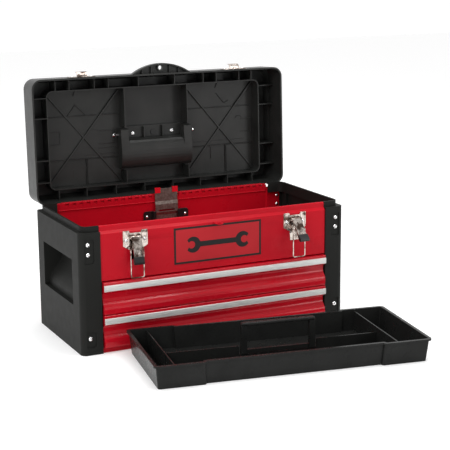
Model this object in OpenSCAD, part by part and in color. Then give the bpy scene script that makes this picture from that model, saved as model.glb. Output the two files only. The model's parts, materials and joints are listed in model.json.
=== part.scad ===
// Portable two-drawer toolbox with a hinged lid and a lift-out tray.
// Millimetres. X to the right, Y to the back, Z up. Origin: centre of the base, on the floor.
// The lid stands open, the drawers are shut and the tray lies on the floor in front.

/* [Body] */
// Overall width of the body
body_w = 500; // [440:10:560]
// Overall depth of the end caps
body_d = 228; // [210:2:260]
// Height of the outer shoulder of the end caps
shoulder_z = 208; // [206:1:210]
// Height of the raised inner rim of the body
rim_z = 217.5; // [216:0.5:219]
// Width of the strip that each end cap wraps round the front and back
cap_strip = 37; // [34:1:40]
// Wall of the moulded end caps
cap_wall = 4; // [3:0.5:5]
// Radius of the upright corners of the end caps
cap_corner = 10; // [6:1:14]
// Thickness of the red sheet steel
sheet = 1.2; // [0.8:0.1:1.5]

/* [Handle pockets] */
// Length of each handle pocket along the depth
pocket_len = 150; // [110:5:170]
// Height of the lower edge of the pocket
pocket_low = 80; // [76:1:90]
// Height of the upper edge of the pocket
pocket_top = 158; // [150:1:160]

/* [Drawers] */
// Height of the underside of the lower drawer front
drawer_low = 9.6; // [9:0.1:10]
// Height step from one drawer to the next
drawer_pitch = 56.7; // [56:0.1:57.5]
// Height of the aluminium trim
trim_h = 10.5; // [8:0.5:12]

/* [Lid] */
// Width of the lid
lid_w = 496; // [490:1:498]
// Depth of the lid from the hinge line to the front edge
lid_d = 224; // [222:1:225]
// Height of the lid above the hinge line
lid_h = 58; // [56:1:64]
// Angle at which the lid stands open
lid_open = 92; // [60:1:94]

/* [Hinge] */
// Distance of the hinge line behind the middle of the body
hinge_y = 113; // [112.5:0.1:113.5]
// Height of the hinge line
hinge_z = 213.5; // [213:0.1:214]
// Length of one hinge knuckle and its gap
knuckle_pitch = 13.5; // [10:0.5:18]
// Radius of the hinge pin
hinge_pin_r = 1.2; // [1:0.1:1.4]

/* [Latches] */
// Distance of each latch from the middle
latch_x = 151; // [120:1:165]
// Angle of the left lever away from the panel
lever_rest_left = 10; // [8:1:30]
// Angle of the right lever away from the panel
lever_rest_right = 40; // [20:1:50]

/* [Tray] */
// Length of the tray at the rim
tray_w = 461; // [440:1:470]
// Depth of the tray at the rim
tray_d = 202; // [180:2:204]
// Height of the tray's wall
tray_h = 39; // [36:1:40]
// Wall of the tray
tray_wall = 2.2; // [1.8:0.1:3]
// Turn of the tray on the floor
tray_turn = -9.35; // [-10:0.05:-8]
// Place of the tray's middle to the right
tray_x = 36.7; // [30:0.1:45]
// Place of the tray's middle in front
tray_y = -260.5; // [-280:0.5:-260]

/* [Quality] */
// Facets of small round parts
$fn = 48; // [32:4:64]

/* [Hidden] */

half_w = body_w / 2;
half_d = body_d / 2;
strip_x = half_w - cap_strip;       // inner edge of the cap strips
panel_y = half_d - 2;               // face of the red panels
panel_z = 124;                      // lower edge of the front panel
RED = "firebrick";
BLACK = "#2b2b2a";
STEEL = "silver";

// ---- helpers ----

// Flat outline with rounded corners, centred, w along X and d along Y.
module rounded_rect(w, d, r) {
    union() {
        square([w - 2 * r, d], center = true);
        square([w, d - 2 * r], center = true);
        for (x = [-1, 1], y = [-1, 1])
            translate([x * (w / 2 - r), y * (d / 2 - r)]) circle(r);
    }
}

module rounded_block(w, d, h, r) {
    linear_extrude(h) rounded_rect(w, d, r);
}

module pair() {
    children();
    mirror([1, 0, 0]) children();
}

// Box given by its lowest and highest corners.
module span(low, high) {
    translate(low) cube(high - low);
}

// Rod along X, centred.
module rod_x(r, length) {
    rotate([0, 90, 0]) cylinder(r = r, h = length, center = true);
}

// Rod along Y, from the origin towards the front.
module rod_front(r, length) {
    rotate([90, 0, 0]) cylinder(r = r, h = length);
}

// Unit normal to the right of the step from a to b.
function side_of(a, b) = [b[1] - a[1], a[0] - b[0]] / norm(b - a);
function corner_shift(p, i, t) =
    let (
        before = side_of(p[max(i - 1, 0)], p[max(i, 1)]),
        after = side_of(p[min(i, len(p) - 2)], p[min(i + 1, len(p) - 1)]),
        middle = (before + after) / norm(before + after)
    ) p[i] + middle * t / (middle * after);

// Outline of folded sheet: the path p and the same path shifted sideways by t.
function folded(p, t) = concat(p, [for (i = [len(p) - 1 : -1 : 0]) corner_shift(p, i, t)]);

// Sheet folded along a path of [y, z] points, as long as length along X, centred.
module sheet_x(p, t, length) {
    translate([-length / 2, 0, 0]) rotate([90, 0, 90]) linear_extrude(length) polygon(folded(p, t));
}

// Points of an arc of radius r about c, from angle a to angle b.
function arc(c, r, a, b, n) = [for (i = [0 : n]) c + r * [cos(a + (b - a) * i / n), sin(a + (b - a) * i / n)]];

// Dome-headed rivet with its head facing the front.
module dome_rivet(head_r, head_h, shank_r, shank) {
    ball = (head_r * head_r + head_h * head_h) / (2 * head_h);
    rotate([90, 0, 0]) rotate_extrude() polygon(concat(
        [[0, -shank], [shank_r, -shank], [shank_r, 0], [head_r, 0]],
        [for (i = [1 : 6]) let (a = asin(head_r / ball) * (1 - i / 6))
            [ball * sin(a), head_h - ball + ball * cos(a)]]));
}

// ---- carcass ----

rivet_x = half_w - 15.5;
rivets_front = [188, 171, 28];
rivets_rear = [190, 173];
rivet_hole_r = 2.1;
pads_z = [[156, 197], [13, 40]];    // sunk pads round the front rivets
pocket_deep = 36;
pocket_ceiling = pocket_top + 14;
rim_side = half_w - 6.8;
rim_front = -half_d + 6.5;
rim_rear = half_d - 7.2;
rim_wall = 3.5;
rim_corner = 13;
ledge_z = 198;

// Section of the right-hand pocket, as [x, z] points from the lower lip to the upper one.
pocket_path = concat(
    [[half_w, pocket_low], [half_w - 9, pocket_low]],
    [for (i = [0 : 12]) let (s = i / 12)
        [half_w - 9.5 - 24.5 * s * s * (3 - 2 * s), pocket_low + 8 + 44 * s]],
    [[half_w - pocket_deep, pocket_ceiling], [half_w - pocket_deep / 2, pocket_ceiling],
     [half_w - pocket_deep / 2 + 2, pocket_top], [half_w, pocket_top]]);

module along_depth(length) {
    translate([0, length / 2, 0]) rotate([90, 0, 0]) linear_extrude(length) children();
}

module rivet_pad(z0, z1) {
    rotate([90, 0, 0]) linear_extrude(3) hull() {
        for (z = [z0 + 5, z1 - 5]) translate([half_w - 20.5, z]) circle(5, $fn = 32);
        translate([half_w - 10, z0]) square([1, z1 - z0]);
    }
}

// Slab with the rim's outline, or a smaller one inside it.
module rim_slab(z0, z1, inset) {
    translate([0, (rim_rear + rim_front) / 2, z0]) linear_extrude(z1 - z0)
        rounded_rect(2 * (rim_side - inset), rim_rear - rim_front - 2 * inset, rim_corner - inset);
}

module rivet_holes(side_y, heights, length) {
    for (z = heights) translate([rivet_x, side_y, z]) rotate([90, 0, 0])
        cylinder(r = rivet_hole_r, h = length, center = true);
}

// The end cap at the right, with its pocket, rim, ledge and feet.
module end_cap() {
    difference() {
        union() {
            difference() {
                rounded_block(body_w, body_d, shoulder_z, cap_corner);
                span([-body_w, -body_d, -1], [strip_x, body_d, shoulder_z + 1]);
                span([0, -half_d + cap_wall, cap_wall], [half_w - cap_wall, half_d - cap_wall, shoulder_z + 1]);
            }
            difference() {
                union() {
                    span([strip_x, -half_d + cap_wall, ledge_z], [half_w - cap_wall, half_d - 6, shoulder_z]);
                    rim_slab(ledge_z, rim_z, 0);
                }
                rim_slab(ledge_z - 1, rim_z + 1, rim_wall);
                span([-body_w, -half_d, ledge_z - 1], [strip_x, half_d, rim_z + 1]);
            }
            along_depth(pocket_len + 6)
                polygon([for (i = [0 : len(pocket_path) - 1]) corner_shift(pocket_path, i, -3)]);
            for (y = [-85, 85])
                span([half_w - 10, y - 1, pocket_low], [half_w - cap_wall + 1, y + 1, ledge_z + 1]);
        }
        along_depth(pocket_len)
            polygon(concat(pocket_path, [[half_w + 1, pocket_top], [half_w + 1, pocket_low]]));
        for (pad = pads_z)
            translate([0, -half_d + 1.6, 0]) rivet_pad(pad[0], pad[1]);
        rivet_holes(-half_d, rivets_front, 30);
        rivet_holes(half_d, rivets_rear, 30);
    }
}

module end_cap_right() {
    color(BLACK) end_cap();
}

module end_cap_left() {
    color(BLACK) mirror([1, 0, 0]) end_cap();
}

// Sheet in plan, joggled inwards behind the cap strips.
module joggled_panel(z0, z1) {
    flange_y = half_d - cap_wall;
    translate([0, 0, z0]) linear_extrude(z1 - z0) polygon(folded([
        [-half_w + 11, flange_y], [-strip_x - 0.2, flange_y], [-strip_x + 1.8, panel_y],
        [strip_x - 1.8, panel_y], [strip_x + 0.2, flange_y], [half_w - 11, flange_y]], sheet));
}

// Upper red front with its rolled top edge.
module front_panel() {
    roll = [-panel_y + 7, rim_z - 2.5];
    color(RED) difference() {
        union() {
            mirror([0, 1, 0]) joggled_panel(panel_z + 2, ledge_z - 1);
            sheet_x(concat(
                [[-panel_y + 14, panel_z + 0.3], [-panel_y, panel_z + 0.3], [-panel_y, 203.5],
                 [-panel_y + 4.7, 208.3]],
                arc(roll, 2.3, 180, 0, 8), [[-panel_y + 9.2, rim_z - 7]]),
                sheet * 0.8, 2 * strip_x - 0.6);
        }
        pair() rivet_holes(-half_d, rivets_front, 30);
        for (x = [-latch_x, latch_x], s = [-16, 16])
            translate([x + s, -panel_y - 1, 189]) rotate([-90, 0, 0]) cylinder(r = 1.6, h = 6);
    }
}

// Red back of the compartment and the drawers, with a pressed bead under the hinge.
module back_panel() {
    color(RED) difference() {
        union() {
            joggled_panel(6, 207);
            span([-strip_x + 2.2, panel_y - sheet, 206], [strip_x - 2.2, panel_y, 210.8]);
            translate([0, panel_y - sheet, 150]) rod_x(1.6, 2 * strip_x - 30);
            translate([0, panel_y - sheet, 100]) rod_x(1.6, 2 * strip_x - 30);
        }
        pair() rivet_holes(half_d, rivets_rear, 30);
        span([-body_w, panel_y, 0], [body_w, panel_y + 5, rim_z]);
        for (x = [-guide_rivet_x, guide_rivet_x]) translate([x, half_d, guide_rivet_z]) rod_front(1.6, 10);
    }
}

// Red pan that closes the bottom.
module base_pan() {
    color(RED) {
        sheet_x([[panel_y - 3, 5.6], [panel_y - 3, 0], [-panel_y + 2, 0], [-panel_y + 2, 8.2], [-panel_y + 9, 8.2]],
            1.6, 2 * strip_x - 0.6);
    }
}

// Steel shelf that parts the compartment from the drawers.
module compartment_floor() {
    color(RED) span([-207, -panel_y + 2, panel_z + 1.6], [207, panel_y - 4, panel_z + 2.8]);
}

module side_plate(side) {
    low = side > 0 ? 207.5 : -208.7;
    color("gray") span([low, -98, 2], [low + 1.2, panel_y - 4, panel_z]);
}

module side_plate_left() {
    side_plate(-1);
}

module side_plate_right() {
    side_plate(1);
}

// Fixed channels that the drawers' slides run in.
rail_z = [drawer_low + 26.4, drawer_low + drawer_pitch + 26.4];
module drawer_rails() {
    color(STEEL) for (z = rail_z) pair() difference() {
        span([200.5, -96, z - 9], [207.5, 100, z + 9]);
        span([199, -97, z - 7.8], [206, 101, z + 7.8]);
    }
}

module cap_rivets_front() {
    color(STEEL) pair() for (z = rivets_front)
        translate([rivet_x, -half_d + 1.6, z]) dome_rivet(3.9, 2.2, 2, 5);
}

module cap_rivets_rear() {
    color(STEEL) pair() for (z = rivets_rear)
        translate([rivet_x, half_d - cap_wall - sheet, z]) dome_rivet(3.4, 1.8, 2, 5.2);
}

// ---- piano hinge ----

hinge_w = 422;
knuckles = floor(hinge_w / knuckle_pitch / 2) * 2;
knuckle_r = 2.4;
knuckle_gap = 0.35;
knuckle_bore = hinge_pin_r + 0.05;

function knuckle_x(i) = (i - (knuckles - 1) / 2) * knuckle_pitch;

// One leaf's share of the knuckles: turn 0 is the body's, turn 1 is the lid's.
module knuckle_row(turn) {
    for (i = [0 : knuckles - 1])
        translate([knuckle_x(i) + (turn - 0.5) * knuckle_pitch / 2, 0, 0])
            rod_x(knuckle_r, knuckle_pitch / 2 - knuckle_gap);
}

module hinge_leaf_body() {
    color(RED) difference() {
        union() {
            sheet_x([[panel_y - sheet - 1.3, 200.5], [panel_y - sheet - 1.3, hinge_z - 0.3]], 1.2, hinge_w);
            translate([0, hinge_y, hinge_z]) knuckle_row(0);
            translate([0, panel_y - sheet - 1.2, 201.4]) rod_x(1, hinge_w - 4);
        }
        for (i = [0 : knuckles - 1])
            translate([knuckle_x(i) + knuckle_pitch / 4, hinge_y, hinge_z - 2.6])
                cube([knuckle_pitch / 2, 12, 6], center = true);
        translate([0, hinge_y, hinge_z]) rod_x(knuckle_bore, hinge_w + 2);
    }
}

module hinge_pin() {
    color(STEEL) translate([0, hinge_y, hinge_z]) rod_x(hinge_pin_r, hinge_w - 1);
}

// ---- latches ----

plate_front = -panel_y - 1.2;
lever_pin = [0, -panel_y - 6.5, 194];
lever_pin_r = 1.5;
trunnion_at = [0, 1, -17.5];
bail_drop = 51;
bail_r = 1;
bail_half = 11.5;

module latch_plate(x) {
    color(STEEL) translate([x, 0, 0]) difference() {
        union() {
            translate([0, -panel_y, 0]) rotate([90, 0, 0]) linear_extrude(1.2) polygon([
                [-22, 205], [-22, 179], [-10, 172], [-9, 156], [9, 156], [10, 172], [22, 179], [22, 205],
                [11, 205], [10, 201], [-10, 201], [-11, 205]]);
            // raised beads of the two ears
            for (s = [-1, 1])
                translate([s * 16, plate_front, 0]) rotate([90, 0, 0]) linear_extrude(1) difference() {
                    translate([-5, 182]) square([10, 22]);
                    translate([-3.6, 183.5]) square([7.2, 19]);
                }
            // lugs that carry the lever's pin
            for (s = [-1, 1]) translate([s * 8.9, 0, 0]) rotate([90, 0, 90]) linear_extrude(1.2, center = true)
                union() {
                    translate([lever_pin[1], lever_pin[2]]) circle(3);
                    translate([lever_pin[1], lever_pin[2] - 3]) square([plate_front - lever_pin[1], 6]);
                }
        }
        translate(lever_pin) rod_x(lever_pin_r + 0.05, 40);
        for (s = [-16, 16]) translate([s, -panel_y + 1, 189]) rod_front(1.6, 6);
    }
}

module latch_plate_left() {
    latch_plate(-latch_x);
}

module latch_plate_right() {
    latch_plate(latch_x);
}

module latch_rivets() {
    color(STEEL) for (x = [-latch_x, latch_x], s = [-16, 16])
        translate([x + s, plate_front, 189]) dome_rivet(3.2, 2, 1.5, 4.2);
}

// Frame of a lever: its pin, turned out from the panel by its angle at rest.
module lever_frame(x, angle) {
    translate([x, 0, 0] + lever_pin) rotate([-angle, 0, 0]) children();
}

// Pressed lever with a rolled eye, side flanges and two eyes for the trunnion.
module lever() {
    color(STEEL) difference() {
        union() {
            rod_x(2.7, 16);
            span([-8, -2.7, -33], [8, -1.5, 0]);
            for (s = [-7.4, 7.4]) {
                span([s - 0.6, -2.7, -31], [s + 0.6, 0.4, 0]);
                translate([s, 0, 0] + trunnion_at) rod_x(2.7, 1.2);
                span([s - 0.6, -2.7, -20.2], [s + 0.6, 1, -14.8]);
            }
            // raised stiffening rib
            translate([0, -2.9, -18]) span([-2.5, -0.6, -13], [2.5, 0.4, 11]);
        }
        rod_x(lever_pin_r + 0.05, 20);
        translate(trunnion_at) rod_x(2.05, 20);
    }
}

module lever_tip() {
    color(BLACK) translate([0, 0.2, 0]) difference() {
        translate([0, 0, -46]) rotate([90, 0, 90]) linear_extrude(18, center = true) polygon([
            [-2.4, 0], [-5.2, 0.8], [-6.4, 4], [-5, 13.4], [-1.2, 13.4], [0.4, 11], [0.4, 2]]);
        span([-8.05, -2.95, -34], [8.05, -1.65, -32]);
    }
}

module lever_pin_rod() {
    color(STEEL) union() {
        rod_x(lever_pin_r, 20);
        for (s = [-9.9, 9.9]) translate([s, 0, 0]) rod_x(2.3, 0.6);
    }
}

// Sleeve in the lever's eyes that the bail turns in.
module trunnion() {
    color(STEEL) translate(trunnion_at) difference() {
        rod_x(2, 16.2);
        rod_x(bail_r + 0.05, 20);
    }
}

// Quarter of a ring in the XZ plane, from +X round to +Z.
module wire_corner(bend, r) {
    rotate([90, 0, 0]) rotate_extrude(angle = 90) translate([bend, 0]) circle(r);
}

// Closed loop of wire, hanging from the sleeve.
module bail(x, angle) {
    pivot = [0, trunnion_at[1] * cos(angle) + trunnion_at[2] * sin(angle),
        trunnion_at[2] * cos(angle) - trunnion_at[1] * sin(angle)];
    bend = 3;
    color(STEEL) translate([x, 0, 0] + lever_pin + pivot) {
        for (z = [0, -bail_drop]) translate([0, 0, z]) rod_x(bail_r, 2 * (bail_half - bend));
        pair() {
            translate([bail_half - bend, 0, -bend]) wire_corner(bend, bail_r);
            translate([bail_half, 0, bend - bail_drop]) cylinder(r = bail_r, h = bail_drop - 2 * bend);
            translate([bail_half - bend, 0, bend - bail_drop]) mirror([0, 0, 1]) wire_corner(bend, bail_r);
        }
    }
}

module lever_left() {
    lever_frame(-latch_x, lever_rest_left) lever();
}

module lever_tip_left() {
    lever_frame(-latch_x, lever_rest_left) lever_tip();
}

module lever_pin_left() {
    lever_frame(-latch_x, 0) lever_pin_rod();
}

module trunnion_left() {
    lever_frame(-latch_x, lever_rest_left) trunnion();
}

module bail_left() {
    bail(-latch_x, lever_rest_left);
}

module lever_right() {
    lever_frame(latch_x, lever_rest_right) lever();
}

module lever_tip_right() {
    lever_frame(latch_x, lever_rest_right) lever_tip();
}

module lever_pin_right() {
    lever_frame(latch_x, 0) lever_pin_rod();
}

module trunnion_right() {
    lever_frame(latch_x, lever_rest_right) trunnion();
}

module bail_right() {
    bail(latch_x, lever_rest_right);
}

// ---- fittings on the front and back ----

badge = [165, 63];
badge_z = 137;
module badge_plate() {
    color("darkred") translate([1.5, -panel_y - 0.01, badge_z + badge[1] / 2]) rotate([90, 0, 0])
        rounded_block(badge[0], badge[1], 0.5, 2);
}

padlock_r = 4;
lug_z = 203;
lug_reach = 17;
// Tab below the lid's tongue, with the lower hole for a padlock.
module padlock_lug() {
    color(RED) difference() {
        union() {
            span([-7, -panel_y - 1.2, lug_z - 2.7], [7, -panel_y - 0.01, lug_z]);
            span([-7, -panel_y - lug_reach / 2, lug_z - 1.4], [7, -panel_y - 0.01, lug_z]);
            translate([0, -panel_y - lug_reach / 2, lug_z - 1.4]) cylinder(r = 7, h = 1.4);
        }
        translate([0, hinge_y - padlock_v, lug_z - 3]) cylinder(r = padlock_r, h = 6);
    }
}

guide_y = panel_y - sheet;
guide_low = 152;
guide_rivet_x = 38.5;
guide_rivet_z = 174;
module lock_guides() {
    color(BLACK) pair() difference() {
        union() {
            translate([0, guide_y, 0]) rotate([90, 0, 0]) linear_extrude(3) union() {
                translate([24.6, guide_low]) square([20.4, 179 - guide_low]);
                translate([24.6, 178]) square([15.4, 6]);
                translate([40, 179]) circle(5);
            }
            span([24.6, guide_y - 8.4, guide_low], [27.4, guide_y, 184]);
            span([22, guide_y - 8.4, guide_low], [27.4, guide_y - 7, 184]);
        }
        translate([guide_rivet_x, guide_y + 1, guide_rivet_z]) rod_front(1.6, 12);
    }
}

module lock_guide_rivets() {
    color(STEEL) for (x = [-guide_rivet_x, guide_rivet_x])
        translate([x, guide_y - 3, guide_rivet_z]) dome_rivet(2.6, 1.6, 1.5, 4);
}

plate_y = panel_y - sheet - 4.8;
lock_top = 226.5;
// Steel plate, cranked twice, that the closing lid pushes down.
module lock_plate() {
    color(STEEL) difference() {
        sheet_x([[plate_y + 1.2, 136], [plate_y + 1.2, 176], [plate_y - 1.4, 181], [plate_y - 1.4, 196],
            [plate_y + 0.6, 202], [plate_y + 0.6, lock_top - 1.2], [plate_y + 3.6, lock_top - 1.2]], 1.2, 45);
        span([-16, plate_y - 6, 183], [16, plate_y + 6, 186]);
    }
}

module lock_clips() {
    color(RED) for (s = [-1, 1]) translate([s * 17.4, 0, 0]) difference() {
        span([-5.5, plate_y - 0.6, 217.5], [5.5, plate_y + 3.2, lock_top + 0.8]);
        span([-6, plate_y + 0.55, 216], [6, plate_y + 5, lock_top + 0.05]);
    }
}

// ---- drawers ----

front_w = 2 * strip_x - 4;
lip_h = 56.2;
trim_low = 41.1;
box_front = -panel_y + 6.8;

// Outer face of a folded drawer front, from its top return to its bottom return.
function drawer_path(z0) = concat(
    [[box_front, z0 + lip_h], [-panel_y - 6.4, z0 + lip_h], [-panel_y - 7.4, z0 + lip_h - 1],
     [-panel_y - 7.4, z0 + 40.4]],
    [[-panel_y + 0.4, z0 + 37], [-panel_y + 1.8, z0 + 33.5], [-panel_y + 2, z0 + 27]],
    [for (i = [1 : 6]) let (s = i / 6) [-panel_y + 2 - 8.5 * s * s * (3 - 2 * s), z0 + 27 - 13 * s]],
    [[-panel_y - 6.9, z0 + 10], [-panel_y - 6.6, z0 + 3], [-panel_y - 5.6, z0 + 0.6], [box_front, z0 + 0.6]]);

module drawer_front(z0) {
    color(RED) union() {
        sheet_x(drawer_path(z0), -sheet, front_w);
        for (x = [-front_w / 2, front_w / 2 - sheet])
            translate([x, 0, 0]) rotate([90, 0, 90]) linear_extrude(sheet) polygon(drawer_path(z0));
    }
}

module drawer_trim(z0) {
    face = -panel_y - 7.42;
    color("gainsboro") translate([-front_w / 2, 0, z0 + trim_low]) rotate([90, 0, 90]) linear_extrude(front_w)
        polygon([[face, 0], [face - 1.3, 0], [face - 2, 1], [face - 2.2, trim_h / 2], [face - 2, trim_h - 1],
            [face - 1.3, trim_h], [face, trim_h]]);
}

box_w = 392;
box_back = 98;
module drawer_box(z0) {
    color("dimgray") difference() {
        span([-box_w / 2, box_front, z0 + 4], [box_w / 2, box_back, z0 + 50]);
        span([-box_w / 2 + sheet, box_front + sheet, z0 + 4 + sheet],
             [box_w / 2 - sheet, box_back - sheet, z0 + 51]);
    }
}

// The drawer's half of the slides, a T section in each channel.
module drawer_slides(z) {
    color(STEEL) pair() {
        span([box_w / 2, -94, z - 2], [203.2, box_back, z + 2]);
        span([203, -94, z - 7], [205, box_back, z + 7]);
    }
}

module drawer_upper_box() {
    drawer_box(drawer_low + drawer_pitch);
}

module drawer_upper_front() {
    drawer_front(drawer_low + drawer_pitch);
}

module drawer_upper_trim() {
    drawer_trim(drawer_low + drawer_pitch);
}

module drawer_upper_slides() {
    drawer_slides(rail_z[1]);
}

module drawer_lower_box() {
    drawer_box(drawer_low);
}

module drawer_lower_front() {
    drawer_front(drawer_low);
}

module drawer_lower_trim() {
    drawer_trim(drawer_low);
}

module drawer_lower_slides() {
    drawer_slides(rail_z[0]);
}

// ---- lid, drawn shut about the hinge line and then opened ----

rim_drop = 4.8;
skin = 3;
inner_w = 211;                      // half width inside the rib frame
inner_back = 23;
inner_front = 198.5;
centre_w = 64;                      // half width of the middle bay
bay_floor = lid_h - 8;
rib_crest = 25;
rib = 2;
swing_v = 111;                      // distance of the carry handle's pins from the hinge
swing_w = lid_h - 10;

module lid_frame() {
    translate([0, hinge_y, hinge_z]) rotate([-lid_open, 0, 0]) children();
}

module lid_slice(w, inset, r) {
    translate([0, -lid_d / 2, w]) linear_extrude(0.1)
        rounded_rect(lid_w - 2 * inset, lid_d - 2 * inset, r, $fn = 32);
}

module lid_block() {
    hull() {
        lid_slice(-rim_drop, 0, 18);
        lid_slice(lid_h - 12, 1, 18);
        lid_slice(lid_h - 5, 3, 17);
        lid_slice(lid_h - 1.4, 6.5, 15);
        lid_slice(lid_h - 0.1, 10, 13);
    }
}

module lid_hollow() {
    hull() {
        lid_slice(-rim_drop - 1, 3, 15);
        lid_slice(lid_h - 14, 4, 15);
        lid_slice(lid_h - skin - 0.1, 10, 10);
    }
}

tongue_half = 57.5;
tongue_out = 18;
tongue_low = -2;
tongue_top = 8;
tongue_wall = 2.4;
boss_r = 6.4;                       // round the padlock hole
boss_h = 6;
padlock_v = lid_d + 9.8;

module tongue_outline(inset) {
    big = (tongue_half * tongue_half + tongue_out * tongue_out) / (2 * tongue_out);
    intersection() {
        translate([0, -lid_d - tongue_out + big]) circle(big - inset, $fn = 96);
        translate([-tongue_half, -lid_d - tongue_out]) square([2 * tongue_half, tongue_out + 1.5]);
    }
}

// Hollow arched tongue at the front edge, with the upper hole for a padlock.
module tongue() {
    difference() {
        union() {
            difference() {
                translate([0, 0, tongue_low]) linear_extrude(tongue_top - tongue_low) tongue_outline(0);
                translate([0, 0, tongue_low - 1]) linear_extrude(tongue_top - tongue_low - 1)
                    tongue_outline(tongue_wall);
            }
            intersection() {
                translate([0, 0, tongue_low]) linear_extrude(tongue_top - tongue_low) tongue_outline(1);
                for (x = [-36, -18, 18, 36])
                    span([x - 0.8, -lid_d - 20, 2], [x + 0.8, -lid_d + 1, tongue_top - 1]);
            }
            translate([0, -padlock_v, tongue_top - boss_h]) cylinder(r = boss_r, h = boss_h);
        }
        translate([0, -padlock_v, tongue_low - 1]) cylinder(r = padlock_r, h = tongue_top - tongue_low + 2);
    }
}

// Flat outline of the two side bays, inset on every side.
module bay_outline(inset) {
    translate([0, -(inner_back + inner_front) / 2]) difference() {
        rounded_rect(2 * (inner_w - inset), inner_front - inner_back - 2 * inset, 10);
        square([2 * (centre_w + inset), lid_d], center = true);
    }
}

module bay_slab(w0, w1, inset) {
    translate([0, 0, w0]) linear_extrude(w1 - w0) bay_outline(inset);
}

module lid_shell() {
    color(BLACK) lid_frame() difference() {
        union() {
            difference() {
                lid_block();
                lid_hollow();
                span([-strip_x - 1, -18, -rim_drop - 1], [strip_x + 1, 1, 3.2]);
            }
            difference() {
                bay_slab(bay_floor, lid_h - skin + 0.1, 0);
                pair() span([0, -125, bay_floor - 1], [cover_half + 0.5, -46, lid_h - skin - 0.01]);
                pair() span([cover_half, -swing_v - 6, bay_floor - 1], [83, -swing_v + 6, bay_floor + 2.4]);
            }
            pair() span([76, -swing_v - 5, swing_w - 6], [78.5, -swing_v + 5, lid_h - skin + 0.1]);
            tongue();
        }
        // recessed fields on the outside
        pair() translate([(centre_w + inner_w) / 2, -(inner_back + inner_front) / 2, lid_h - 5])
            rounded_block(inner_w - centre_w - 16, inner_front - inner_back - 16, 6, 8);
        span([-67, -120, lid_h - skin - 1], [67, -51, lid_h + 1]);
        pair() translate([77, -swing_v, swing_w]) rod_x(2.6, 6);
        for (x = [-latch_x, latch_x], s = [-18, 18])
            translate([x + s, -lid_d + 8, keeper_w]) rod_front(1.6, 12);
    }
}

module rib_between(low, high) {
    span([low[0], -high[1], low[2]], [high[0], -low[1], high[2]]);
}

cut = 0.06;                         // parting gap between ribs

// Rib across the gutter, as a section [distance from the lid's outer face, height].
module gutter_rib(reach, low) {
    rotate([90, 0, 0]) linear_extrude(1.6, center = true)
        polygon([[4.1, low], [4.1, lid_h - 14], [9.6, lid_h - 4], [reach - cut, lid_h - 4], [reach - cut, low]]);
}

// Raised frame round the bays, parted at its corners.
module rib_frame() {
    middle = (inner_back + inner_front) / 2;
    half_v = (inner_front - inner_back) / 2;
    translate([0, -middle, rib_crest]) linear_extrude(lid_h - skin - 0.05 - rib_crest) difference() {
        rounded_rect(2 * (inner_w + rib), 2 * (half_v + rib), 12);
        rounded_rect(2 * inner_w, 2 * half_v, 10);
        for (x = [-1, 1]) translate([x * (inner_w - 10), 0]) square([cut, lid_d], center = true);
        for (y = [-1, 1]) translate([0, y * (half_v - 10)]) square([lid_w, cut], center = true);
    }
}

// Diagonal ribs of the right-hand bay.
module bay_cross() {
    lean = atan2(inner_front - inner_back, inner_w - centre_w);
    translate([0, 0, bay_floor - 4]) linear_extrude(4 - 0.01) intersection() {
        bay_outline(cut);
        translate([(centre_w + inner_w) / 2, -(inner_back + inner_front) / 2]) union() {
            rotate(lean) square([300, 2.4], center = true);
            difference() {
                rotate(-lean) square([300, 2.4], center = true);
                rotate(lean) square([320, 2.4 + 2 * cut], center = true);
            }
        }
    }
}

// Reinforcing ribs inside the lid.
module lid_ribs() {
    top = lid_h - skin - 0.05;
    color(BLACK) lid_frame() {
        rib_frame();
        pair() {
            rib_between([centre_w - rib, inner_back + cut, rib_crest + 2], [centre_w - 0.01, 45.5, top]);
            rib_between([centre_w - rib, 126, rib_crest + 2], [centre_w - 0.01, inner_front - cut, top]);
            bay_cross();
            for (x = [28.6, 85.7, 143, 196])
                translate([x, 0, 0]) rotate([0, 0, -90]) gutter_rib(inner_back - rib, rib_crest + 1);
            for (x = [36, 95, 122, 170, 196])
                translate([x, -lid_d, 0]) rotate([0, 0, 90]) gutter_rib(lid_d - inner_front - rib, 22);
            for (v = [36, 76, 152, 188])
                translate([lid_w / 2, -v, 0]) rotate([0, 0, 180])
                    gutter_rib(lid_w / 2 - inner_w - rib, rib_crest);
        }
    }
}

module hinge_leaf_lid() {
    color(RED) lid_frame() difference() {
        union() {
            knuckle_row(1);
            span([-hinge_w / 2, 0.05, 3], [hinge_w / 2, 1.2, 18]);
            for (i = [0 : knuckles - 1])
                translate([knuckle_x(i) + knuckle_gap / 2, 0.05, 1.4])
                    cube([knuckle_pitch / 2 - knuckle_gap, 1.15, 2]);
        }
        rod_x(knuckle_bore, hinge_w + 2);
    }
}

// ---- lid fittings ----

keeper_w = 8;
module keeper(x) {
    color(STEEL) lid_frame() translate([x, 0, 0]) difference() {
        union() {
            span([-24.5, -lid_d - 1.2, keeper_w - 7], [24.5, -lid_d - 0.02, keeper_w + 7]);
            sheet_x([[-lid_d - 0.6, 3], [-lid_d - 5, 3.2], [-lid_d - 8.4, 5], [-lid_d - 9.6, 8.4],
                [-lid_d - 9.6, 12.2]], 1.2, 20);
        }
        for (s = [-18, 18]) translate([s, -lid_d + 2, keeper_w]) rod_front(1.6, 6);
    }
}

module keeper_left() {
    keeper(-latch_x);
}

module keeper_right() {
    keeper(latch_x);
}

module keeper_rivets() {
    color(STEEL) lid_frame() for (x = [-latch_x, latch_x], s = [-18, 18])
        translate([x + s, -lid_d - 1.2, keeper_w]) dome_rivet(2.8, 1.6, 1.5, 4.4);
}

cover_half = 71;
cover_skin = lid_h - skin - 0.02;   // height of the face that the cover is fixed to

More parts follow.
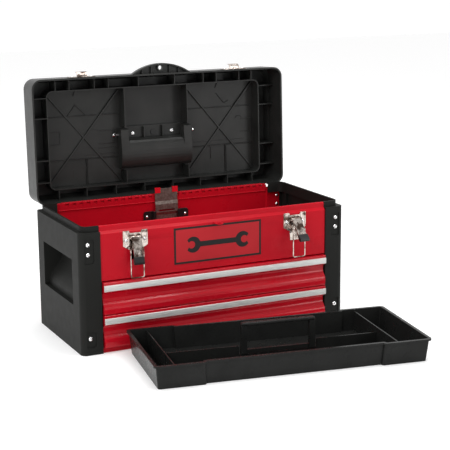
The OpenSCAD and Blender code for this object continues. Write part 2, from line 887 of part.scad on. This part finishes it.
// Section of the handle cover as [-v, w] points: a barrel that ends at end_a, then a straight stretch to top_v.
function cover_path(top_v, end_a, end_w) = concat(
    [[-48, cover_skin]],
    [for (i = [0 : 12]) let (a = 180 + (end_a - 180) * i / 12)
        [-(75.5 + 27.5 * cos(a)), 45 - 18 * pow(sin(a), 0.62)]],
    [[-top_v + 2, end_w], [-top_v, end_w + 3], [-top_v, cover_skin]]);

module cover_solid(top_v, end_a, end_w, x0, x1, wall) {
    path = cover_path(top_v, end_a, end_w);
    translate([x0, 0, 0]) rotate([90, 0, 90]) linear_extrude(x1 - x0) polygon(
        wall == 0 ? path : concat([for (i = [0 : len(path) - 1]) corner_shift(path, i, wall)],
            [[-top_v + wall, lid_h], [-48 - wall, lid_h]]));
}

screw_x = 40;
module handle_cover() {
    color(BLACK) lid_frame() difference() {
        union() {
            cover_solid(103, 28, 38, -cover_half, cover_half, 0);
            for (x = [-cover_half, 56]) cover_solid(123, 70, 30, x, x + 15, 0);
            rib_between([-57, 102, lid_h - skin - 4.5], [57, 125, lid_h - skin - 2]);
            for (x = [-19, 19]) rib_between([x - 1, 102, 44], [x + 1, 123, lid_h - skin - 2]);
        }
        cover_solid(103, 28, 38, -68.5, 68.5, 2.5);
        for (x = [-68.5, 58.5]) cover_solid(123, 70, 30, x, x + 10, 2.5);
        for (x = [-screw_x, screw_x]) translate([x, -swing_v, 40]) cylinder(r = 2.1, h = 20);
        pair() translate([70, -swing_v, swing_w]) rod_x(2.6, 6);
    }
}

module cover_screws() {
    color(STEEL) lid_frame() for (x = [-screw_x, screw_x])
        translate([x, -swing_v, lid_h - skin - 4.5]) difference() {
            rotate([90, 0, 0]) dome_rivet(4.4, 2.2, 2, 3.4);
            for (a = [0, 90]) rotate([0, 0, a]) translate([0, 0, -2]) cube([4.4, 0.9, 2], center = true);
        }
}

module handle_pins() {
    color(STEEL) lid_frame() pair() {
        translate([70, -swing_v, swing_w]) rod_x(2.5, 19);
        translate([80.3, -swing_v, swing_w]) rod_x(4.2, 2.6);
    }
}

grip_v = 64;
module carry_handle() {
    color(BLACK) lid_frame() difference() {
        union() {
            pair() translate([63, 0, swing_w]) rotate([90, 0, 90]) linear_extrude(8, center = true) union() {
                translate([-swing_v, 0]) circle(6);
                translate([-swing_v, -5]) square([swing_v - grip_v, 10]);
                translate([-grip_v, 0]) circle(8);
            }
            translate([0, -grip_v, swing_w]) rod_x(6.6, 120);
        }
        pair() translate([62, -swing_v, swing_w]) rod_x(2.55, 14);
    }
}

// ---- tray ----

tray_end = 82.5;                    // length of the wide ends
tray_jog = 5.4;                     // step in of the long sides between the ends
tray_draft = 4;
divider_h = 36;
middle_h = 27;
divider_x = [-197.5, 176];

module tray_frame() {
    translate([tray_x, tray_y, 0]) rotate([0, 0, tray_turn]) children();
}

module tray_outline(grow) {
    union() {
        for (s = [-1, 1]) translate([s * (tray_w - tray_end) / 2, 0])
            rounded_rect(tray_end + 2 * grow, tray_d + 2 * grow, 6 + grow);
        square([tray_w - 30, tray_d - 2 * tray_jog + 2 * grow], center = true);
    }
}

module tray_taper(z0, z1, grow) {
    at_low = tray_draft * (1 - z0 / tray_h);
    at_high = tray_draft * (1 - z1 / tray_h);
    low = [1 - 2 * at_low / tray_w, 1 - 2 * at_low / tray_d];
    high = [1 - 2 * at_high / tray_w, 1 - 2 * at_high / tray_d];
    translate([0, 0, z0]) linear_extrude(z1 - z0, scale = [high[0] / low[0], high[1] / low[1]], slices = 1)
        scale(low) tray_outline(grow);
}

module tray() {
    color(BLACK) tray_frame() {
        difference() {
            union() {
                tray_taper(0, tray_h, -1.6);
                translate([0, 0, tray_h - 3]) linear_extrude(3) tray_outline(1.6);
            }
            tray_taper(tray_wall, tray_h + 1, -1.6 - tray_wall);
        }
        for (x = divider_x) intersection() {
            tray_taper(0, tray_h, -2);
            span([x - 0.9, -tray_d, 1], [x + 0.9, tray_d, divider_h]);
        }
        difference() {
            span([divider_x[0], -5, 1], [divider_x[1], -3, middle_h]);
            span([-67, -12, handle_foot], [67, 4, tray_h]);
        }
    }
}

handle_half = 64;
handle_top = 66;
handle_foot = 12;
handle_base = [13, 20];
// Loop handle that stands on the middle divider.
module tray_handle() {
    color(BLACK) tray_frame() union() {
        for (s = [-1, 1]) translate([s * (handle_half - 5), -4, 0]) {
            span([-5, -4.2, handle_base[0]], [5, 4.2, handle_top - 3]);
            span([-5 - 1.5, -2, handle_foot], [5 + 1.5, 2, handle_base[0]]);
        }
        span([-handle_half + 5, -4 - 2.5, handle_base[0]], [handle_half - 5, -4 + 2.5, handle_base[1]]);
        hull() for (x = [-1, 1], y = [-1, 1])
            translate([x * (handle_half - 3.5), -4 + y * 2.8, handle_top - 3]) sphere(3, $fn = 24);
    }
}

end_cap_left();
end_cap_right();
front_panel();
back_panel();
base_pan();
compartment_floor();
side_plate_left();
side_plate_right();
drawer_rails();
cap_rivets_front();
cap_rivets_rear();
hinge_leaf_body();
hinge_pin();
latch_plate_left();
latch_plate_right();
latch_rivets();
badge_plate();
padlock_lug();
lock_guides();
lock_guide_rivets();
lid_shell();
lid_ribs();
hinge_leaf_lid();
keeper_left();
keeper_right();
keeper_rivets();
handle_cover();
cover_screws();
handle_pins();
carry_handle();
drawer_upper_box();
drawer_upper_front();
drawer_upper_trim();
drawer_upper_slides();
drawer_lower_box();
drawer_lower_front();
drawer_lower_trim();
drawer_lower_slides();
lever_left();
lever_tip_left();
lever_pin_left();
trunnion_left();
bail_left();
lever_right();
lever_tip_right();
lever_pin_right();
trunnion_right();
bail_right();
lock_plate();
lock_clips();
tray();
tray_handle();
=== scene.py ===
"""A toolbox with a lift-out tray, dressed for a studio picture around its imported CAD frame."""

import json
import math

import bmesh
import bpy
from mathutils import Matrix, Vector


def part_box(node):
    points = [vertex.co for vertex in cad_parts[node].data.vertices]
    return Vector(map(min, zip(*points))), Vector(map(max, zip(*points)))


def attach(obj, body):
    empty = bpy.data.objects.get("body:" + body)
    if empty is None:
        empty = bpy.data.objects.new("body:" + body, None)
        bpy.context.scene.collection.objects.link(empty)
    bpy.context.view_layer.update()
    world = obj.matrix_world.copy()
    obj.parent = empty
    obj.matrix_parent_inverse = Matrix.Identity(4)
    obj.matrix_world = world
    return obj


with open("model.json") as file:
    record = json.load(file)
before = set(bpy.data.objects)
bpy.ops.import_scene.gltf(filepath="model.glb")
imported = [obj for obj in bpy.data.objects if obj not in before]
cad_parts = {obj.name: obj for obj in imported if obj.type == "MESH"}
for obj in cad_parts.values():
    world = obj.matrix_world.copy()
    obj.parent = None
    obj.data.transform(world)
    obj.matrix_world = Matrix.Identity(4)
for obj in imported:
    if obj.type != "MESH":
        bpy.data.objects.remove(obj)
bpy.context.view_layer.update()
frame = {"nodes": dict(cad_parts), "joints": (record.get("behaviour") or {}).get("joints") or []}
NODES = frame["nodes"]
MM = 0.001

# ---- places worked out from the frame ----

JOINTS = {joint["name"]: joint for joint in frame["joints"]}
HINGE = Vector(JOINTS["lid_hinge"]["pos_m"])
OPEN_ANGLE = math.radians(92)
LID_FRAME = Matrix.Translation(HINGE) @ Matrix.Rotation(-OPEN_ANGLE, 4, "X")


# ---- materials ----


class Shader:
    """A Principled material with short ways to add procedural detail in object space."""

    def __init__(self, name, **values):
        self.material = bpy.data.materials.new(name)
        self.material.use_nodes = True
        self.tree = self.material.node_tree
        self.bsdf = self.tree.nodes["Principled BSDF"]
        self.coords = self.tree.nodes.new("ShaderNodeTexCoord").outputs["Object"]
        for key, value in values.items():
            self.bsdf.inputs[key.replace("_", " ")].default_value = value

    def node(self, kind, **values):
        made = self.tree.nodes.new("ShaderNode" + kind)
        for key, value in values.items():
            setattr(made, key, value)
        return made

    def link(self, source, target):
        self.tree.links.new(source, target)

    def noise(self, scale, detail=3, stretch=(1, 1, 1)):
        place = self.node("Mapping")
        place.inputs["Scale"].default_value = stretch
        self.link(self.coords, place.inputs["Vector"])
        made = self.node("TexNoise")
        made.inputs["Scale"].default_value = scale
        made.inputs["Detail"].default_value = detail
        self.link(place.outputs["Vector"], made.inputs["Vector"])
        return made.outputs["Fac"]

    def between(self, fac, low, high, start=0.3, end=0.7):
        made = self.node("MapRange")
        made.inputs["From Min"].default_value = start
        made.inputs["From Max"].default_value = end
        made.inputs["To Min"].default_value = low
        made.inputs["To Max"].default_value = high
        self.link(fac, made.inputs["Value"])
        return made.outputs["Result"]

    def colours(self, fac, *stops):
        made = self.node("ValToRGB")
        ramp = made.color_ramp
        for at, colour in stops[2:]:
            ramp.elements.new(at).color = (*colour, 1)
        for element, (at, colour) in zip((ramp.elements[0], ramp.elements[-1]), stops[:2]):
            element.position = at
            element.color = (*colour, 1)
        self.link(fac, made.inputs["Fac"])
        return made.outputs["Color"]

    def colour(self, fac, low, high, start=0.35, end=0.65):
        self.link(self.colours(fac, (start, low), (end, high)), self.bsdf.inputs["Base Color"])

    def rough(self, fac, low, high):
        self.link(self.between(fac, low, high), self.bsdf.inputs["Roughness"])

    def bump(self, *layers):
        """Layers of (height, distance in metres), the deepest first."""
        normal = None
        for height, distance in layers:
            made = self.node("Bump")
            made.inputs["Distance"].default_value = distance
            made.inputs["Strength"].default_value = 1
            self.link(height, made.inputs["Height"])
            if normal:
                self.link(normal, made.inputs["Normal"])
            normal = made.outputs["Normal"]
        self.link(normal, self.bsdf.inputs["Normal"])


def tone(colour, share):
    return tuple(min(1, c * share) for c in colour)


def moulded(name, colour, rough, grain=900, depth=0.00006, waves=0.0002, spread=0.14, shine=0.3):
    """Moulded plastic: spark-eroded grain, slight sink marks and uneven gloss."""
    made = Shader(name, Specular_IOR_Level=shine)
    made.colour(made.noise(24, 4), tone(colour, 1 - spread), tone(colour, 1 + spread))
    made.rough(made.noise(60, 5), rough - 0.025, rough + 0.035)
    made.bump((made.noise(16, 2), waves), (made.noise(grain, 3), depth))
    return made.material


def painted(name, colour, rough=0.3, coat=0.0):
    """Powder coat over sheet steel, with its faint orange peel."""
    made = Shader(name, Coat_Weight=coat, Coat_Roughness=0.12, Specular_IOR_Level=0.09)
    made.colour(made.noise(9, 3), tone(colour, 0.93), tone(colour, 1.06))
    made.rough(made.noise(50, 4), rough - 0.05, rough + 0.07)
    made.bump((made.noise(12, 2), 0.00012), (made.noise(420, 2), 0.000018))
    return made.material


def brushed(name, colour, rough, stretch, scale=60, depth=0.00003):
    """Metal brushed along the axis with the small stretch."""
    made = Shader(name, Metallic=0.6, Anisotropic=0.4)
    lines = made.noise(scale, 6, stretch)
    made.colour(lines, tone(colour, 0.72), tone(colour, 1.15), 0.3, 0.7)
    made.rough(lines, rough - 0.08, rough + 0.12)
    made.bump((lines, depth))
    return made.material


def plated(name, colour, rough, stain=None):
    """Plated pressings, with slight waves from forming and a warm cast in places."""
    made = Shader(name, Metallic=1.0)
    made.colour(made.noise(95, 3), stain or tone(colour, 0.8), colour, 0.4, 0.56)
    made.rough(made.noise(300, 4), rough - 0.04, rough + 0.1)
    made.bump((made.noise(110, 2), 0.0007), (made.noise(900, 3), 0.00001))
    return made.material


def galvanised(name):
    """Dull zinc plate with a speckled brown cast."""
    made = Shader(name, Metallic=0.85)
    made.colour(made.noise(260, 3), (0.13, 0.098, 0.085), (0.2, 0.16, 0.142), 0.4, 0.62)
    made.rough(made.noise(300, 3), 0.4, 0.55)
    made.bump((made.noise(400, 3), 0.00003))
    return made.material


RED = (0.44, 0.0042, 0.013)
MATERIALS = {
    "cap": moulded("cap_plastic", (0.0128, 0.0131, 0.012), 0.55, waves=0.00004, spread=0.03, shine=0.1),
    "lid": moulded("lid_plastic", (0.019, 0.0195, 0.0183), 0.36, waves=0.0005, spread=0.18, shine=0.24),
    "tray": moulded("tray_plastic", (0.0135, 0.0138, 0.0132), 0.28, grain=700, waves=0.0003, shine=0.11),
    "grip": moulded("grip_plastic", (0.009, 0.009, 0.009), 0.32),
    "red": painted("red_powder_coat", RED),
    "clip": painted("red_clip_paint", (0.58, 0.006, 0.016), 0.4),
    "gloss": painted("red_drawer_coat", RED, 0.24, 0.35),
    "badge": painted("badge_red", (0.42, 0.02, 0.026), 0.45),
    # dark paint for the badge's print, also used as the painted shade of the strip behind the hinge slots
    "ink": painted("badge_ink_and_slot_shade", (0.022, 0.02, 0.02), 0.5),
    "grey": painted("grey_paint", (0.03, 0.03, 0.031), 0.45),
    "aluminium": brushed("brushed_aluminium", (0.7, 0.7, 0.68), 0.5, (0.02, 1, 1), 2600),
    "nickel": plated("nickel_plate", (0.6, 0.53, 0.48), 0.16, (0.1, 0.066, 0.052)),
    "zinc": plated("zinc_plate", (0.85, 0.85, 0.85), 0.2),
    "lock": galvanised("lock_zinc"),
}
LOOKS = {
    "cap": ["end_cap_left", "end_cap_right"],
    "lid": ["lid_shell", "lid_ribs", "handle_cover"],
    "tray": ["tray", "tray_handle"],
    "grip": ["carry_handle", "lock_guides", "lever_tip_left", "lever_tip_right"],
    "red": ["hinge_pin", "front_panel", "back_panel", "base_pan", "compartment_floor",
            "hinge_leaf_body", "hinge_leaf_lid", "padlock_lug"],
    "gloss": ["drawer_upper_front", "drawer_lower_front"],
    "clip": ["lock_clips"],
    "badge": ["badge_plate"],
    "grey": ["side_plate_left", "side_plate_right", "drawer_upper_box", "drawer_lower_box"],
    "aluminium": ["drawer_upper_trim", "drawer_lower_trim"],
    "nickel": ["latch_plate_left", "latch_plate_right", "lever_left", "lever_right", "keeper_left",
               "keeper_right", "bail_left", "bail_right", "trunnion_left", "trunnion_right",
               "lever_pin_left", "lever_pin_right"],
    "lock": ["lock_plate"],
    "zinc": ["drawer_rails", "cap_rivets_front", "cap_rivets_rear", "latch_rivets",
             "lock_guide_rivets", "keeper_rivets", "cover_screws", "handle_pins",
             "drawer_upper_slides", "drawer_lower_slides"],
}
# Width of the rounding on each look's hard edges, in millimetres.
EDGES = {"cap": 0.9, "lid": 0.5, "tray": 0.6, "grip": 0.5, "red": 0.35, "gloss": 0.35,
         "aluminium": 0.15, "nickel": 0.25, "lock": 0.25, "clip": 0.3}


def soften(piece, width, angle=35):
    """Rounds a piece's hard edges by width, in millimetres, and shades it smooth."""
    weld = piece.modifiers.new("weld", "WELD")
    weld.merge_threshold = 0.00001
    if width:
        bevel = piece.modifiers.new("bevel", "BEVEL")
        bevel.width = width * MM
        bevel.segments = 2
        bevel.limit_method = "ANGLE"
        bevel.angle_limit = math.radians(angle)
        bevel.harden_normals = False
        bevel.miter_outer = "MITER_ARC"
    normals = piece.modifiers.new("normals", "WEIGHTED_NORMAL")
    normals.keep_sharp = True


def dress(piece, look):
    piece.data.materials.clear()
    piece.data.materials.append(MATERIALS[look])


for look, names in LOOKS.items():
    for name in names:
        dress(NODES[name], look)
        soften(NODES[name], EDGES.get(look, 0))

# ---- mesh helpers ----


def piece_from(name, mesh_tools, look, body, bevel=0.0):
    """Turns a bmesh into a piece that rides on a body and takes a look."""
    bmesh.ops.recalc_face_normals(mesh_tools, faces=mesh_tools.faces)
    mesh = bpy.data.meshes.new(name)
    mesh_tools.to_mesh(mesh)
    mesh_tools.free()
    piece = bpy.data.objects.new(name, mesh)
    bpy.context.collection.objects.link(piece)
    dress(piece, look)
    soften(piece, bevel)
    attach(piece, body)
    return piece


def add_prism(tools, outline, low, high, place):
    """Extrudes a flat outline in millimetres from low to high along its own Z, placed by a matrix."""
    rings = []
    for z in (low, high):
        rings.append([tools.verts.new(place @ Vector((x * MM, y * MM, z * MM))) for x, y in outline])
    count = len(outline)
    tools.faces.new(rings[0][::-1])
    tools.faces.new(rings[1])
    for i in range(count):
        j = (i + 1) % count
        tools.faces.new((rings[0][i], rings[0][j], rings[1][j], rings[1][i]))


def rectangle(x0, y0, x1, y1):
    return [(x0, y0), (x1, y0), (x1, y1), (x0, y1)]


def bar(a, b, width):
    """Outline of a straight bar from a to b."""
    start, end = Vector(a), Vector(b)
    side = (end - start).orthogonal().normalized() * width / 2
    return [tuple(start - side), tuple(end - side), tuple(end + side), tuple(start + side)]


def arc(centre, radius, start, end, steps=12):
    angles = [math.radians(start + (end - start) * i / steps) for i in range(steps + 1)]
    return [(centre[0] + radius * math.cos(a), centre[1] + radius * math.sin(a)) for a in angles]


def add_tube(tools, points, radius, sides=10):
    """Round bar along points given in metres."""
    across = (points[1] - points[0]).orthogonal().normalized()
    turns = [2 * math.pi * k / sides for k in range(sides)]
    rings = []
    for i, point in enumerate(points):
        along = (points[min(i + 1, len(points) - 1)] - points[max(i - 1, 0)]).normalized()
        across = (across - along * across.dot(along)).normalized()
        other = along.cross(across)
        spokes = [(across * math.cos(t) + other * math.sin(t)) * radius for t in turns]
        rings.append([tools.verts.new(point + spoke) for spoke in spokes])
    for a, b in zip(rings, rings[1:]):
        for k in range(sides):
            tools.faces.new((a[k], a[(k + 1) % sides], b[(k + 1) % sides], b[k]))
    tools.faces.new(rings[0][::-1])
    tools.faces.new(rings[-1])


# ---- the badge's print ----

BADGE_LOW, BADGE_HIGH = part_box("badge_plate")
BADGE_MIDDLE = (BADGE_LOW + BADGE_HIGH) / 2
BADGE_FACE = Vector((BADGE_MIDDLE.x, BADGE_LOW.y, BADGE_MIDDLE.z))
BADGE_PLACE = Matrix.Translation(BADGE_FACE) @ Matrix.Rotation(math.pi / 2, 4, "X")
BADGE_SIZE = (BADGE_HIGH - BADGE_LOW) / MM


def make_badge():
    """A dark frame round a plain double-ended spanner."""
    tools = bmesh.new()
    half_w, half_h = BADGE_SIZE.x / 2, BADGE_SIZE.z / 2
    line = 3.4
    ink = 0.12
    for side in (-1, 1):
        x0, x1 = sorted((side * half_w, side * (half_w - line)))
        add_prism(tools, rectangle(x0, -half_h, x1, half_h), 0, ink, BADGE_PLACE)
        y0, y1 = sorted((side * half_h, side * (half_h - line)))
        add_prism(tools, rectangle(-half_w + line, y0, half_w - line, y1), 0, ink, BADGE_PLACE)
    add_prism(tools, rectangle(-36, -4.5, 36, 4.5), 0, ink, BADGE_PLACE)
    for side in (-1, 1):
        turn = 0 if side > 0 else 180
        outer = arc((side * 47, 0), 14, turn + 38, turn + 322, 28)
        jaw = arc((side * 50, 0), 6.5, turn + 322, turn + 38, 16)
        add_prism(tools, outer + jaw, 0, 0.125, BADGE_PLACE)
    piece_from("badge_print", tools, "ink", "carcass")


# ---- mouldings inside the lid ----

BAY_FLOOR = 50
RELIEF = 1.6


def make_lid_mouldings():
    """Steps, ridges and shallow pockets on the floors of the lid's two side bays."""
    tools = bmesh.new()
    flip = LID_FRAME @ Matrix.Diagonal((1, -1, 1, 1))

    def raised(outline, height):
        add_prism(tools, outline, BAY_FLOOR - height * RELIEF, BAY_FLOOR - 0.02, flip)

    def ridge(points, height=1.1, width=1.3):
        for a, b in zip(points, points[1:]):
            raised(bar(a, b, width), height)

    def pocket(x0, v0, x1, v1, height=1.4):
        ridge([(x0, v0), (x1, v0)], height)
        ridge([(x1, v0), (x1, v1)], height * 0.97)
        ridge([(x0, v1), (x1, v1)], height * 1.03)

    # left bay: raised lower field, two step lines, a chevron and three pockets
    raised(rectangle(-207, 72, -66, 150), 0.7)
    raised(rectangle(-207, 24, -160, 71), 0.5)
    raised(rectangle(-132, 24, -66, 70), 0.9)
    ridge([(-207, 150.5), (-66, 150.5)], 1.5)
    ridge([(-207, 71), (-66, 71)], 1.6)
    ridge([(-134, 78), (-72, 78)], 1.3)
    ridge([(-166, 152), (-151, 171), (-131, 151)], 1.2)
    ridge([(-150, 198), (-154, 187)], 1.2)
    ridge([(-110, 89), (-72, 89)], 1.3)
    ridge([(-119, 123), (-108, 123)], 1.3)
    pocket(-108, 97, -78, 121)
    pocket(-206, 101, -183, 124)
    ridge([(-134, 70), (-134, 62), (-131, 58), (-134, 54), (-134, 24)], 1.5)
    # right bay
    raised(rectangle(70, 78, 207, 149), 0.7)
    raised(rectangle(70, 24, 118, 76), 0.5)
    raised(rectangle(152, 24, 207, 76), 0.9)
    ridge([(70, 197), (70, 151)], 1.3)
    ridge([(70, 150), (207, 150)], 1.5)
    ridge([(70, 77), (207, 77)], 1.6)
    ridge([(84, 86), (190, 86)], 1.2)
    ridge([(134, 176), (150, 157), (160, 162)], 1.2)
    ridge([(137, 198), (132, 187)], 1.2)
    ridge(arc((180, 124), 7, 20, 160, 8), 1.3)
    ridge([(150, 76), (150, 24)], 1.4)
    ridge([(119, 76), (119, 52)], 1.2)
    pocket(184, 100, 206, 124)
    piece_from("lid_mouldings", tools, "lid", "lid", 0.35)


def make_cover_boss():
    """Blind boss in the middle of the handle cover's flange."""
    tools = bmesh.new()
    ring = arc((0, 111), 4.6, 0, 350, 35)
    flip = LID_FRAME @ Matrix.Diagonal((1, -1, 1, 1))
    add_prism(tools, ring, 49.2, 50.6, flip)
    piece_from("cover_boss", tools, "grip", "lid", 0.5)


# ---- lips of the side pockets ----

CAP_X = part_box("end_cap_right")[1].x / MM
POCKET_END = 75
POCKET_LOW = 80
LIP_INSET = 9.5
LIP_REACH = 24.5
LIP_START = 8
LIP_RISE = 44


def make_pocket_lips():
    """Fine lip where each pocket's curved wall meets its rear end."""
    for side, name in ((-1, "pocket_lip_left"), (1, "pocket_lip_right")):
        tools = bmesh.new()
        points = []
        for i in range(25):
            t = i / 24
            inwards = LIP_INSET + LIP_REACH * t * t * (3 - 2 * t)
            height = POCKET_LOW + LIP_START + LIP_RISE * t
            points.append(Vector((side * (CAP_X - inwards), POCKET_END - 0.3, height)) * MM)
        add_tube(tools, points, 0.8 * MM)
        piece_from(name, tools, "cap", "carcass")


def make_hinge_slot_shade():
    """Dark strip behind the back panel's top edge: painted shade, standing in for the shadow seen through
    the hinge's slots.
    """
    tools = bmesh.new()
    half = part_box("hinge_leaf_body")[1].x / MM
    panel_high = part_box("back_panel")[1] / MM
    inner, outer = panel_high.y + 0.05, panel_high.y + 3.3
    step, top = panel_high.z + 0.1, panel_high.z + 0.9
    bottom = panel_high.z - 1.3
    lip = outer - 0.6
    section = [(inner, bottom), (outer, bottom), (outer, top), (lip, top), (lip - 0.4, step), (inner, step)]
    along_x = Matrix(((0, 0, 1, 0), (1, 0, 0, 0), (0, 1, 0, 0), (0, 0, 0, 1)))
    add_prism(tools, section, -half, half, along_x)
    # the strip's dark paint is painted shade in the hinge slots, not a real part of the box
    piece_from("hinge_slot_shade", tools, "ink", "carcass")


make_badge()
make_hinge_slot_shade()
make_lid_mouldings()
make_cover_boss()
make_pocket_lips()

# ---- stage, light and camera ----


FLOOR_HALF = 6


def make_floor():
    mesh = bpy.data.meshes.new("floor")
    corners = [(x * FLOOR_HALF, y * FLOOR_HALF, 0) for x, y in ((-1, -1), (1, -1), (1, 1), (-1, 1))]
    mesh.from_pydata(corners, [], [(0, 1, 2, 3)])
    floor = bpy.data.objects.new("floor", mesh)
    bpy.context.collection.objects.link(floor)
    white = Shader("floor", Base_Color=(0.9, 0.9, 0.9, 1), Roughness=0.8, Specular_IOR_Level=0.1,
                   Emission_Color=(1, 1, 1, 1), Emission_Strength=0.22)
    mesh.materials.append(white.material)


def soft_box(name, place, target, size, watts, colour=(1, 1, 1)):
    data = bpy.data.lights.new(name, "AREA")
    data.shape = "RECTANGLE"
    data.size, data.size_y = size
    data.energy = watts
    data.color = colour
    lamp = bpy.data.objects.new(name, data)
    bpy.context.collection.objects.link(lamp)
    lamp.location = place
    lamp.rotation_euler = (Vector(target) - Vector(place)).to_track_quat("-Z", "Y").to_euler()


def make_light():
    world = bpy.data.worlds.new("studio")
    bpy.context.scene.world = world
    world.use_nodes = True
    tree = world.node_tree
    direction = tree.nodes.new("ShaderNodeTexCoord").outputs["Generated"]
    split = tree.nodes.new("ShaderNodeSeparateXYZ")
    tree.links.new(direction, split.inputs["Vector"])
    ramp = tree.nodes.new("ShaderNodeMapRange")
    for key, value in (("From Min", -0.7), ("From Max", 0.3), ("To Min", 0.5), ("To Max", 1.02)):
        ramp.inputs[key].default_value = value
    tree.links.new(split.outputs["Y"], ramp.inputs["Value"])
    tree.links.new(ramp.outputs["Result"], tree.nodes["Background"].inputs["Strength"])
    tree.nodes["Background"].inputs["Color"].default_value = (1, 1, 1, 1)
    middle = (0, 0, 0.15)
    soft_box("key", (-2.0, -1.5, 1.7), middle, (0.9, 0.9), 25)
    soft_box("fill", (1.6, -2.2, 0.9), middle, (0.6, 1.2), 12)
    soft_box("top", (0.2, -0.2, 2.4), middle, (2.0, 1.0), 22)
    soft_box("gleam", (0.36, -0.42, 1.31), (-0.15, -0.12, 0.1), (0.3, 0.3), 2.2)
    bpy.context.scene.view_settings.view_transform = "Standard"


CAMERA_PLACE = Vector((-0.9134, -2.0290, 0.6658))
CAMERA_YAW = math.radians(25.84)
CAMERA_PITCH = math.radians(12.43)
CAMERA_ROLL = -0.008
CAMERA_LENS = 101.75


def make_camera():
    data = bpy.data.cameras.new("camera")
    data.lens = CAMERA_LENS
    data.sensor_width = 36
    camera = bpy.data.objects.new("camera", data)
    bpy.context.collection.objects.link(camera)
    level = math.cos(CAMERA_PITCH)
    ahead = Vector((math.sin(CAMERA_YAW) * level, math.cos(CAMERA_YAW) * level, -math.sin(CAMERA_PITCH)))
    right = Vector((math.cos(CAMERA_YAW), -math.sin(CAMERA_YAW), 0))
    up = right.cross(ahead)
    turned = right * math.cos(CAMERA_ROLL) + up * math.sin(CAMERA_ROLL)
    tilted = up * math.cos(CAMERA_ROLL) - right * math.sin(CAMERA_ROLL)
    facing = Matrix((turned, tilted, -ahead)).transposed().to_4x4()
    camera.matrix_world = Matrix.Translation(CAMERA_PLACE) @ facing
    bpy.context.scene.camera = camera


make_floor()
make_light()
make_camera()
